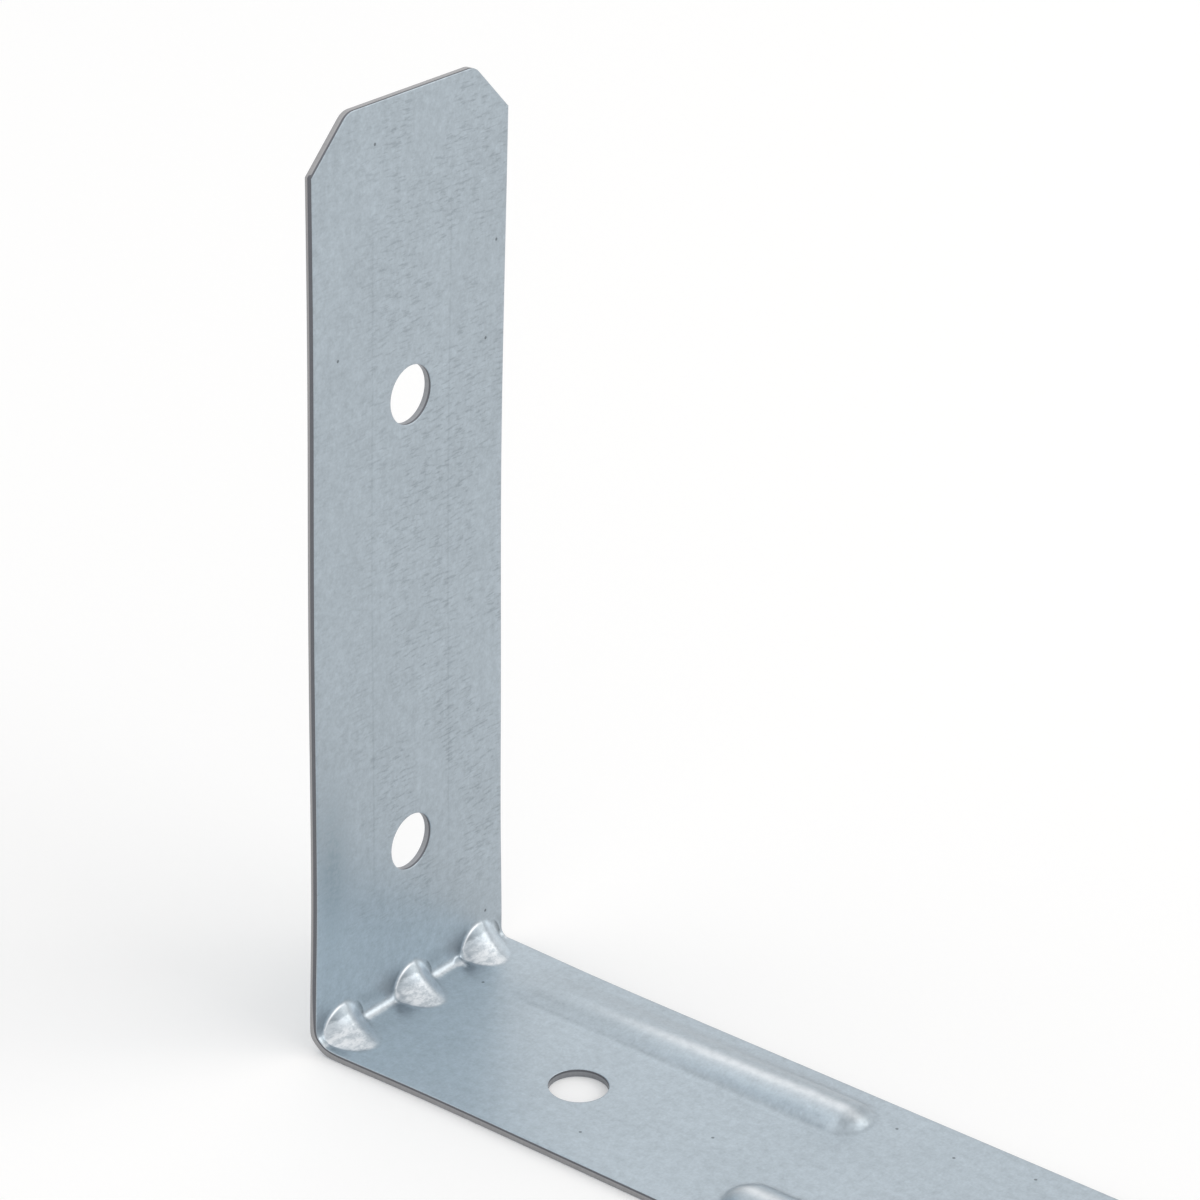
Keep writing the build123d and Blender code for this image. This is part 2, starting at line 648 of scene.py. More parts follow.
    def _interior(self) -> np.ndarray:
        """Returns the points inside the cuts, as rows of (u, v), with none close to a cut."""
        s = self.sizes
        kept: list[np.ndarray] = []
        patches = self.patches()
        for i, patch in enumerate(patches):
            grid = patch.points()
            clear = np.ones(len(grid), bool)
            for finer in patches[:i]:
                room = tuple(self.PATCH_GAP * pitch for pitch in patch.pitch)
                wide = PointPatch(
                    (finer.low[0] - room[0], finer.low[1] - room[1]),
                    (finer.high[0] + room[0], finer.high[1] + room[1]),
                    finer.pitch,
                )
                clear &= ~wide.holds(grid)
            kept.append(grid[clear])
        points = np.concatenate(kept)
        clear = np.ones(len(points), bool)
        for place in self.hole_places():
            room = s.hole_diameter / 2 + SHEARED_PROFILE[0].inset + self.HOLE_CLEAR
            clear &= np.linalg.norm(points - place, axis=1) > room
        diagonal = s.corner_crop + self.CROP_CLEAR
        for end, sign in ((s.flat_start, 1.0), (s.long_leg, -1.0)):
            from_end = (points[:, 0] - end) * sign
            clear &= from_end + (s.half_width - np.abs(points[:, 1])) > diagonal
        return points[clear]

    def _flat(self, rims: list[np.ndarray]) -> tuple[np.ndarray, np.ndarray, dict[int, int]]:
        """Triangulates the flat of the blank, inside the rims of its cuts.

        Args:
            rims: The points of each rim, in order.

        Returns:
            The flat's points, its triangles, which look up, and the row of each
            of the rims' points among the flat's.
        """
        flat = np.concatenate(rims + [self._interior()])
        edges: list[tuple[int, int]] = []
        first = 0
        for rim in rims:
            count = len(rim)
            edges += [(first + i, first + (i + 1) % count) for i in range(count)]
            first += count
        laid = delaunay_2d_cdt(
            [Vector(p) for p in flat], edges, [], self.CDT_INSIDE, self.CDT_CLOSENESS, True
        )
        places = np.array([tuple(p) for p in laid[0]])
        row_of = {old: new for new, olds in enumerate(laid[3]) for old in olds}
        triangles = np.array(laid[2])
        corner = places[triangles]
        side_a, side_b = corner[:, 1] - corner[:, 0], corner[:, 2] - corner[:, 0]
        twice_area = side_a[:, 0] * side_b[:, 1] - side_a[:, 1] * side_b[:, 0]
        triangles[twice_area < 0] = triangles[twice_area < 0][:, ::-1]
        metal, middle = np.abs(twice_area) > self.SLIVER, corner.mean(axis=1)
        rim_radius = self.sizes.hole_diameter / 2 + SHEARED_PROFILE[0].inset
        for place in self.hole_places():
            metal &= np.linalg.norm(middle - place, axis=1) > rim_radius
        return places, triangles[metal], row_of

    def mesh(self) -> bpy.types.Mesh:
        """Lays the blank out as a closed flat plate.

        Returns:
            The plate's mesh, in millimetres, with the cut edges marked.
        """
        cuts = [self.outline()] + [self.hole(place) for place in self.hole_places()]
        places, triangles, row_of = self._flat(
            [cut.inset(SHEARED_PROFILE[0].inset) for cut in cuts]
        )
        count = len(places)
        inner = np.column_stack([places, np.full(count, self.sizes.sheet)])
        outer = np.column_stack([places, np.zeros(count)])
        rows, marks = [inner, outer], [np.zeros(2 * count)]
        faces: list[tuple[int, ...]] = [tuple(t) for t in triangles.tolist()]
        faces += [tuple(t) for t in (triangles[:, ::-1] + count).tolist()]
        added, start = 2 * count, 0
        for cut in cuts:
            size = len(cut.points)
            rim_rows = np.array([row_of[start + i] for i in range(size)])
            start += size
            above = rim_rows
            for step in SHEARED_PROFILE[1:-1]:
                ring = cut.inset(step.inset)
                rows.append(np.column_stack([ring, np.full(size, step.depth * self.sizes.sheet)]))
                marks.append(np.full(size, float(step.cut)))
                below = np.arange(added, added + size)
                added += size
                faces += self._band(above, below)
                above = below
            faces += self._band(above, rim_rows + count)
        made = bpy.data.meshes.new("strap_blank")
        made.from_pydata(np.concatenate(rows).tolist(), [], faces)
        mark = made.attributes.new(Mark.CUT.value, "FLOAT", "POINT")
        mark.data.foreach_set("value", np.concatenate(marks).astype(np.float32))
        made.shade_smooth()
        return made

    @staticmethod
    def _band(above: np.ndarray, below: np.ndarray) -> list[tuple[int, ...]]:
        """Joins two rings of a cut edge by a band of quads.

        Args:
            above: The rows of the ring nearer the inner face.
            below: The rows of the ring nearer the outer face.

        Returns:
            The band's faces, which look out of the metal.
        """
        ahead_above, ahead_below = np.roll(above, -1), np.roll(below, -1)
        return list(
            zip(above.tolist(), below.tolist(), ahead_below.tolist(), ahead_above.tolist())
        )


# press


@dataclass(frozen=True)
class Springback:
    """How the real sheet strays from straight after folding, in millimetres."""

    bow: float = 0.25
    bow_height: float = 54.0
    bow_spread: float = 24.0
    neck: float = 0.30
    neck_height: float = 68.0
    neck_spread: float = 28.0
    flare: float = 0.42
    flare_spread: float = 11.0


class Press:
    """The press tool: a Geometry Nodes tree that forms the flat blank into the strap.

    A gusset's near face is fuller than its far one, and the ridge between them
    lies a little to the near side. Fillets, spans and the ridge's shift are in
    millimetres, and the rest are shares and powers of the gusset's own curve.
    """

    RIB_FILLET = 0.35
    GUSSET_FILLET = 0.09
    NEAR_FULLNESS = 2.4
    FAR_FULLNESS = 1.35
    RIDGE_SHIFT = 0.45
    RIDGE_ROUNDING = 0.28
    FAR_FALL = 0.95
    THIN_FOOT = 0.05
    FACET_FALL = (0.75, 1.35)
    FACET_FILLET = 0.04
    EDGE_SPAN = (0.2, 2.0)
    EDGE_FILLET = 0.50
    CUT_LEVEL = 0.74

    def __init__(self, sizes: StrapSizes, springback: Springback) -> None:
        """Holds what the tool is set to.

        Args:
            sizes: The strap's sizes.
            springback: How the formed sheet strays from straight.
        """
        self.sizes = sizes
        self.springback = springback
        self.identifiers: dict[str, str] = {}
        self.read: dict[str, Wire] = {}

    def settings(self) -> dict[str, float]:
        """Returns the tree's named inputs and their values."""
        s, b = self.sizes, self.springback
        return {
            "Sheet Thickness": s.sheet,
            "Fold Outside Radius": s.fold_outside_radius,
            "Rib Pitch": s.pattern_pitch,
            "First Rib Centre": s.pattern_start,
            "Last Rib": float(s.rib_count - 1),
            "Rib Half Length": s.rib_length / 2,
            "Rib Half Width": s.rib_width / 2,
            "Rib End": s.rib_end,
            "Rib Rise": s.rib_rise,
            "Rib Offset": s.rib_offset,
            "Fade Start": s.fade_start,
            "Fade Full": s.fade_full,
            "Fade Rise": s.fade_rise,
            "Gusset Pitch": s.gusset_pitch,
            "Outer Gusset": float(s.gusset_count // 2),
            "Gusset Shift": s.gusset_shift,
            "Gusset Skew": s.gusset_skew,
            "Gusset Half Width": s.gusset_half_width,
            "Gusset Reach": s.gusset_reach,
            "Reach Loss": s.reach_loss,
            "Gusset Climb": s.gusset_climb,
            "Gusset Saddle": s.gusset_saddle,
            "Edge Rise": s.edge_rise,
            "Facet Place": s.facet_place,
            "Facet Half Width": s.facet_half_width,
            "Facet Lift": s.facet_lift,
            "Bow": b.bow,
            "Bow Height": b.bow_height,
            "Bow Spread": b.bow_spread,
            "Neck": b.neck,
            "Neck Height": b.neck_height,
            "Neck Spread": b.neck_spread,
            "Flare": b.flare,
            "Flare Spread": b.flare_spread,
            "Half Width": s.half_width,
        }

    def _rib_heights(self, u: Wire, v: Wire) -> tuple[Wire, Wire, Wire]:
        """Works out how far the ribs raise the two faces.

        Args:
            u: The place along the blank.
            v: The place across it.

        Returns:
            The inner face's height, the outer face's height, and the place on
            the rib: across it, beyond its straight part, and its share of the
            full rise.
        """
        get = self.read
        odd = v.math("LESS_THAN", 0.0)
        pair = (u - get["First Rib Centre"] - get["Rib Pitch"] * odd) / (2.0 * get["Rib Pitch"])
        last_pair = ((get["Last Rib"] - odd) / 2.0).math("FLOOR")
        slot = 2.0 * pair.math("ROUND").within(0.0, last_pair) + odd
        centre = get["First Rib Centre"] + get["Rib Pitch"] * slot
        is_first = 1.0 - slot.at_most(1.0)
        half_width = get["Rib Half Width"]
        straight = get["Rib Half Length"] - get["Rib End"]
        start = (centre - straight) + is_first * (
            get["Fade Start"] + get["Rib End"] - (centre - straight)
        )
        end = centre + straight
        beyond = (start - u).at_least(u - end).at_least(0.0) * (half_width / get["Rib End"])
        across = v.math("ABSOLUTE") - get["Rib Offset"]
        square = beyond * beyond + across * across
        faded = ((u - get["Fade Start"]) / (get["Fade Full"] - get["Fade Start"])).within(0.0, 1.0)
        faded = get["Fade Rise"] + (get["Rib Rise"] - get["Fade Rise"]) * faded
        rise = get["Rib Rise"] + is_first * (faded - get["Rib Rise"])
        radius = (half_width * half_width + rise * rise) / (2.0 * rise)
        sheet = get["Sheet Thickness"]
        inner = (radius * radius - square).at_least(0.0).math("SQRT") - (radius - rise)
        hollow = radius - sheet
        outer = (hollow * hollow - square).at_least(0.0).math("SQRT") - (hollow - rise)
        inner, outer = inner.raised(self.RIB_FILLET), outer.raised(self.RIB_FILLET)
        board = u.board
        return inner, outer, board.vector(across, beyond, inner / get["Rib Rise"])

    def _fold(self, u: Wire, height: Wire) -> tuple[Wire, Wire]:
        """Folds the blank up square.

        Args:
            u: The place along the blank.
            height: The height above the outer face.

        Returns:
            The folded place along the long leg, and its height.
        """
        radius, sheet = self.read["Fold Outside Radius"], self.read["Sheet Thickness"]
        middle = radius - sheet / 2.0
        angle = ((radius - u) / middle).within(0.0, math.pi / 2)
        past = (radius - u - math.pi / 2 * middle).at_least(0.0)
        x = u.at_least(radius) - (radius - height) * angle.math("SINE")
        z = radius - (radius - height) * angle.math("COSINE") + past
        return x, z

    def _gusset_profile(self, across: Wire, from_ridge: Wire, half_width: Wire) -> Wire:
        """Works out how far out of the corner one face of a gusset stands.

        Args:
            across: The place across the gusset.
            from_ridge: The place away from the middle of its climb.
            half_width: The face's half width.

        Returns:
            The height over the corner, in shares of the gusset's reach.
        """
        board = across.board
        past_ridge = across + self.RIDGE_SHIFT
        is_far = past_ridge.math("GREATER_THAN", 0.0)
        fullness = board.mix(is_far, self.NEAR_FULLNESS, self.FAR_FULLNESS)
        share = (across / half_width).math("ABSOLUTE").at_most(1.0)
        foot = (1.0 - share**fullness) ** 0.5
        fallen = (past_ridge / (half_width + self.RIDGE_SHIFT)).within(0.0, 1.0)
        rounded = (fallen * fallen + self.RIDGE_ROUNDING**2).math("SQRT") - self.RIDGE_ROUNDING
        fall = rounded / (math.hypot(1.0, self.RIDGE_ROUNDING) - self.RIDGE_ROUNDING)
        middle = self.read["Gusset Saddle"] * board.mix(is_far, foot, 1.0 - self.FAR_FALL * fall)
        to_foot = (from_ridge / foot.at_least(self.THIN_FOOT)).at_most(1.0)
        return middle.at_most(foot) + (foot - middle).at_least(0.0) * to_foot * to_foot

    def _facet(self, along: Wire, up: Wire, v: Wire) -> Wire:
        """Works out how far the facet pushes the inner face out of the corner.

        Args:
            along: The place along the long leg, in shares of a gusset's reach.
            up: The height, in shares of a gusset's climb.
            v: The place across the strap.

        Returns:
            The push.
        """
        get = self.read
        off_facet = (v - get["Facet Place"]) / get["Facet Half Width"]
        fall_along, fall_up = self.FACET_FALL
        facet = get["Facet Lift"] * (1.0 - off_facet * off_facet)
        facet = facet - (fall_along * along + fall_up * up)
        return facet.raised(self.FACET_FILLET)

    def _gusset_amounts(self, x: Wire, v: Wire, z: Wire) -> tuple[Wire, Wire, Wire]:
        """Works out how far the gussets push the two faces out of the corner.

        Args:
            x: The folded place along the long leg.
            v: The place across the strap.
            z: The folded height.

        Returns:
            The inner face's and the outer face's push, and the place on the
            gusset: across it, up it, and how far it stands clear of its foot.
        """
        get = self.read
        slot = ((v - get["Gusset Shift"]) / get["Gusset Pitch"]).math("ROUND")
        slot = slot.within(-get["Outer Gusset"], get["Outer Gusset"])
        reach = get["Gusset Reach"] - get["Reach Loss"] * slot
        climb, sheet = get["Gusset Climb"], get["Sheet Thickness"]
        along, up = (x - sheet) / reach, (z - sheet) / climb
        across = v - get["Gusset Shift"] - slot * get["Gusset Pitch"]
        across = across - get["Gusset Skew"] * (up - along).within(-1.0, 1.0)
        from_corner, from_ridge = along + up, (along - up).math("ABSOLUTE")
        slant = (1.0 / (reach * reach) + 1.0 / (climb * climb)).math("SQRT")
        by_edge = 1.0 - (get["Half Width"] + v).ramp(*self.EDGE_SPAN)
        lifts, pushes = [], []
        for face in (Face.INNER, Face.OUTER):
            hollow = (1.0 - face.value) * sheet
            half_width = get["Gusset Half Width"] - hollow
            profile = self._gusset_profile(across, from_ridge, half_width)
            lifts.append(profile - hollow * slant - from_corner)
            drawn_in = (get["Edge Rise"] - hollow * slant - from_corner).raised(self.EDGE_FILLET)
            pushes.append(lifts[-1].raised(self.GUSSET_FILLET).at_least(by_edge * drawn_in))
        pushes[0] = pushes[0].at_least(self._facet(along, up, v))
        share = across / get["Gusset Half Width"]
        return pushes[0], pushes[1], x.board.vector(share, up, lifts[0])

    def _stray(self, x: Wire, v: Wire, z: Wire, u: Wire) -> tuple[Wire, Wire]:
        """Bows, necks and flares the folded strap slightly, as the real one is.

        Args:
            x: The folded place along the long leg.
            v: The place across the strap.
            z: The folded height.
            u: The place along the blank.

        Returns:
            The strayed x and v.
        """
        get = self.read
        bowed = x - get["Bow"] * z.bump(get["Bow Height"], get["Bow Spread"])
        share = v / get["Half Width"]
        neck = get["Neck"] * z.bump(get["Neck Height"], get["Neck Spread"])
        flare = get["Flare"] * u.bump(0.0, get["Flare Spread"]) * share * share
        return bowed, v + share * (flare - neck)

    def _formed(self, place: Wire) -> tuple[Wire, Wire, Wire]:
        """Works out where the press takes a point of the blank.

        Args:
            place: The point's place on the blank.

        Returns:
            The point's place on the strap, in metres, and its places on the
            ribs and on the gussets.
        """
        board = place.board
        u, v, n = board.axes(place)
        depth = (n / self.read["Sheet Thickness"]).within(0.0, 1.0)
        rib_inner, rib_outer, rib_place = self._rib_heights(u, v)
        height = n + board.mix(depth, rib_outer, rib_inner)
        x, z = self._fold(u, height)
        push_inner, push_outer, gusset_place = self._gusset_amounts(x, v, z)
        push = board.mix(depth, push_outer, push_inner)
        x = x + push * self.read["Gusset Reach"] / 2.0
        z = z + push * self.read["Gusset Climb"] / 2.0
        x, y = self._stray(x, v, z, u)
        return board.vector(x * MM, y * MM, z * MM), rib_place, gusset_place

    def _opened(self, tree: bpy.types.NodeTree) -> Wire:
        """Gives the tree its named inputs, and reads them.

        Args:
            tree: The new tree.

        Returns:
            The blank that the tree is given.
        """
        tree.interface.new_socket("Blank", in_out="INPUT", socket_type="NodeSocketGeometry")
        tree.interface.new_socket("Strap", in_out="OUTPUT", socket_type="NodeSocketGeometry")
        for name, value in self.settings().items():
            socket = tree.interface.new_socket(
                name, in_out="INPUT", socket_type="NodeSocketFloat"
            )
            socket.default_value = value
            self.identifiers[name] = socket.identifier
        board = Board(tree)
        entry = board.node("NodeGroupInput")
        self.read = {name: Wire(board, entry.outputs[name]) for name in self.settings()}
        return Wire(board, entry.outputs["Blank"])

    def tree(self, coat: bpy.types.Material, cut: bpy.types.Material) -> bpy.types.NodeTree:
        """Builds the tool.

        Args:
            coat: The material of the coated faces.
            cut: The material of the cut edges.

        Returns:
            The Geometry Nodes tree.
        """
        made = bpy.data.node_groups.new("strap_press", "GeometryNodeTree")
        made.is_modifier = True
        body = self._opened(made)
        board = body.board
        place = board.wire("GeometryNodeInputPosition")
        formed, rib_place, gusset_place = self._formed(place)
        for mark, value in (
            (Mark.BLANK, place),
            (Mark.RIB, rib_place),
            (Mark.GUSSET, gusset_place),
        ):
            body = board.wire(
                "GeometryNodeStoreNamedAttribute",
                {"data_type": "FLOAT_VECTOR", "domain": "POINT"},
                {"Geometry": body, "Name": mark.value, "Value": value},
            )
        body = board.wire(
            "GeometryNodeSetPosition", None, {"Geometry": body, "Position": formed}
        )
        body = board.wire("GeometryNodeRealizeInstances", None, {"Geometry": body})
        body = board.wire("GeometryNodeSetMaterial", None, {"Geometry": body, "Material": coat})
        on_cut = board.wire(
            "GeometryNodeInputNamedAttribute", {"data_type": "FLOAT"}, {"Name": Mark.CUT.value}
        )
        chosen = board.wire(
            "FunctionNodeCompare", {"operation": "GREATER_THAN"}, {0: on_cut, 1: self.CUT_LEVEL}
        )
        body = board.wire(
            "GeometryNodeSetMaterial",
            None,
            {"Geometry": body, "Selection": chosen, "Material": cut},
        )
        board.node("NodeGroupOutput", None, {"Strap": body})
        return made

    def form(
        self, blank: bpy.types.Mesh, name: str, coat: bpy.types.Material, cut: bpy.types.Material
    ) -> bpy.types.Object:
        """Presses a blank into the strap.

        Args:
            blank: The flat blank's mesh.
            name: The name of the finished piece.
            coat: The material of the coated faces.
            cut: The material of the cut edges.

        Returns:
            The strap, as a plain mesh.
        """
        piece = bpy.data.objects.new(name, blank)
        bpy.context.scene.collection.objects.link(piece)
        modifier = piece.modifiers.new("press", "NODES")
        modifier.node_group = self.tree(coat, cut)
        for setting, value in self.settings().items():
            modifier[self.identifiers[setting]] = value
        graph = bpy.context.evaluated_depsgraph_get()
        formed = bpy.data.meshes.new_from_object(
            piece.evaluated_get(graph), preserve_all_data_layers=True, depsgraph=graph
        )
        formed.name = name
        piece.modifiers.remove(modifier)
        piece.data = formed
        return piece


# finishes


@dataclass(frozen=True)
class BlankSpot:
    """Where a point of the strap lies on the flat blank. Lengths are in millimetres.

    Attributes:
        blank: The place, as one vector.
        along: Along the blank, from the fold to the long leg's tip.
        across: Across the blank, from its near edge to its far one.
        depth: Through the sheet, from the outer face.
    """

    blank: Wire
    along: Wire
    across: Wire
    depth: Wire

    @classmethod
    def on(cls, board: Board) -> "BlankSpot":
        """Reads the place on the blank that the mesh carries."""
        blank = board.carried(Mark.BLANK)
        return cls(blank, *board.axes(blank))


@dataclass(frozen=True)
class Spot(BlankSpot):
    """Where a point of the strap lies on the blank, its ribs and its gussets.

    Attributes:
        rib_across: Across a rib, from its middle line towards the strap's edge.
        rib_beyond: Past a rib's straight part.
        rib_height: The share of a rib's full rise.
        gusset_across: Across a gusset, in its half widths.
        gusset_up: Up a gusset, in shares of its climb.
        gusset_lift: How far a gusset stands clear of its foot.
        on_inner: 1 on the inner face, and 0 on the outer one.
    """

    rib_across: Wire
    rib_beyond: Wire
    rib_height: Wire
    gusset_across: Wire
    gusset_up: Wire
    gusset_lift: Wire
    on_inner: Wire

    INNER_DEPTH: ClassVar[Span] = (0.6, 0.85)

    @classmethod
    def on(cls, board: Board) -> "Spot":
        """Reads all the places that the mesh carries.

        Args:
            board: The material's board.

        Returns:
            The spot that the material is worked out for.
        """
        flat = BlankSpot.on(board)
        rib, gusset = board.carried(Mark.RIB), board.carried(Mark.GUSSET)
        places = (flat.blank, flat.along, flat.across, flat.depth)
        pressed = (*board.axes(rib), *board.axes(gusset))
        return cls(*places, *pressed, flat.depth.ramp(*cls.INNER_DEPTH))


@dataclass(frozen=True)
class Grain:
    """Soft noise on the strap. Lengths are in millimetres.

    Attributes:
        length: The size of its features along the blank.
        width: Their size across it.
        detail: How many finer layers it has.
        rough: How strong the finer layers are.
        through: How fast it changes through the sheet.
        shift: How far it is moved away from the other noises.
    """

    length: float
    width: float
    detail: float = 2.0
    rough: float = 0.5
    through: float = 1.0
    shift: float = 0.0

    def drawn(self, board: Board, spot: BlankSpot) -> Wire:
        """Draws the noise.

        Args:
            board: The material's board.
            spot: The spot to draw it at.

        Returns:
            The noise, about 0.5.
        """
        through = spot.depth * self.through + self.shift
        place = board.vector(spot.along / self.length, spot.across / self.width, through)
        values = {"Vector": place, "Scale": 1.0, "Detail": self.detail, "Roughness": self.rough}
        return board.wire("ShaderNodeTexNoise", {"noise_dimensions": "3D"}, values)


@dataclass(frozen=True)
class Speck:
    """A dark speck of dross in the coat, by its place on the flat blank in millimetres."""

    along: float
    across: float
    size: float = 0.22

    def drawn(self, board: Board, spot: Spot) -> Wire:
        """Draws the speck.

        Args:
            board: The material's board.
            spot: The spot to draw it at.

        Returns:
            1 on the speck, and 0 round it.
        """
        away = board.vector(spot.along - self.along, spot.across - self.across, 0.0)
        distance = board.wire(
            "ShaderNodeVectorMath", {"operation": "LENGTH"}, {0: away}, output="Value"
        )
        return 1.0 - distance.ramp(self.size / 2, self.size)


@dataclass(frozen=True)
class Dross:
    """The specks of the coat: measured ones near the fold, and strewn ones elsewhere."""

    specks: tuple[Speck, ...] = (
        Speck(-94.4, -5.5),
        Speck(-79.8, 13.0),
        Speck(-73.9, -11.0),
        Speck(-69.7, 11.6),
        Speck(-3.6, 11.9),
        Speck(5.8, 5.9),
        Speck(31.7, -10.0),
        Speck(42.4, -2.3),
        Speck(55.5, 10.9),
        Speck(62.8, 10.2),
        Speck(71.1, 12.2),
    )
    measured_end: Span = (74.0, 76.0)
    spacing: float = 9.0
    size: float = 0.24
    picked: Span = (0.80, 0.90)

    def drawn(self, board: Board, spot: Spot) -> Wire:
        """Draws all the specks.

        Args:
            board: The material's board.
            spot: The spot to draw them at.

        Returns:
            1 on a speck, and 0 elsewhere.
        """
        cells = board.node(
            "ShaderNodeTexVoronoi",
            {"voronoi_dimensions": "2D", "feature": "F1"},
            {"Vector": spot.blank, "Scale": 1.0 / self.spacing},
        )
        distance = Wire(board, cells.outputs["Distance"])
        chance = board.axes(Wire(board, cells.outputs["Color"]))[0]
        size = self.size / self.spacing
        measured = (1.0 - spot.along.ramp(*self.measured_end)) * spot.on_inner
        found = (1.0 - distance.ramp(size / 2, size)) * chance.ramp(*self.picked)
        found = found.dimmed(measured)
        for speck in self.specks:
            found = found.at_least(speck.drawn(board, spot))
        return found


@dataclass(frozen=True)
class MillMarks:
    """What the rolling mill left on the coat: chatter, and lines down the short leg."""

    chatter: Grain = Grain(0.32, 1.7, detail=3.0, rough=0.6)
    chatter_shown: Span = (0.50, 0.66)
    areas: Grain = Grain(12.0, 7.0, shift=4.0)
    areas_shown: Span = (0.32, 0.54)
    near_part: Span = (-11.0, -1.0)
    near_share: float = 0.40
    short_leg_end: Span = (-14.0, -4.0)
    long_leg_share: float = 0.18
    line_places: Span = (-5.9, 5.9)
    line_width: float = 0.14
    lines_start: Span = (-92.0, -80.0)
    lines_end: Span = (-20.0, -8.0)

    def chattered(self, board: Board, spot: Spot) -> Wire:
        """Draws the chatter.

        Args:
            board: The material's board.
            spot: The spot to draw it at.

        Returns:
            1 on a mark, and 0 beside it.
        """
        shown = self.areas.drawn(board, spot).ramp(*self.areas_shown)
        shown = shown * spot.across.ramp(*self.near_part).above(self.near_share)
        on_short_leg = 1.0 - spot.along.ramp(*self.short_leg_end)
        shown = board.mix(on_short_leg, self.long_leg_share, shown)
        return self.chatter.drawn(board, spot).ramp(*self.chatter_shown) * shown

    def lined(self, spot: Spot) -> Wire:
        """Draws the lines.

        Args:
            spot: The spot to draw them at.

        Returns:
            1 on a line, and 0 beside it.
        """
        left, right = (spot.across.bump(place, self.line_width) for place in self.line_places)
        ends = spot.along.ramp(*self.lines_start).dimmed(spot.along.ramp(*self.lines_end))
        return (left + right) * ends


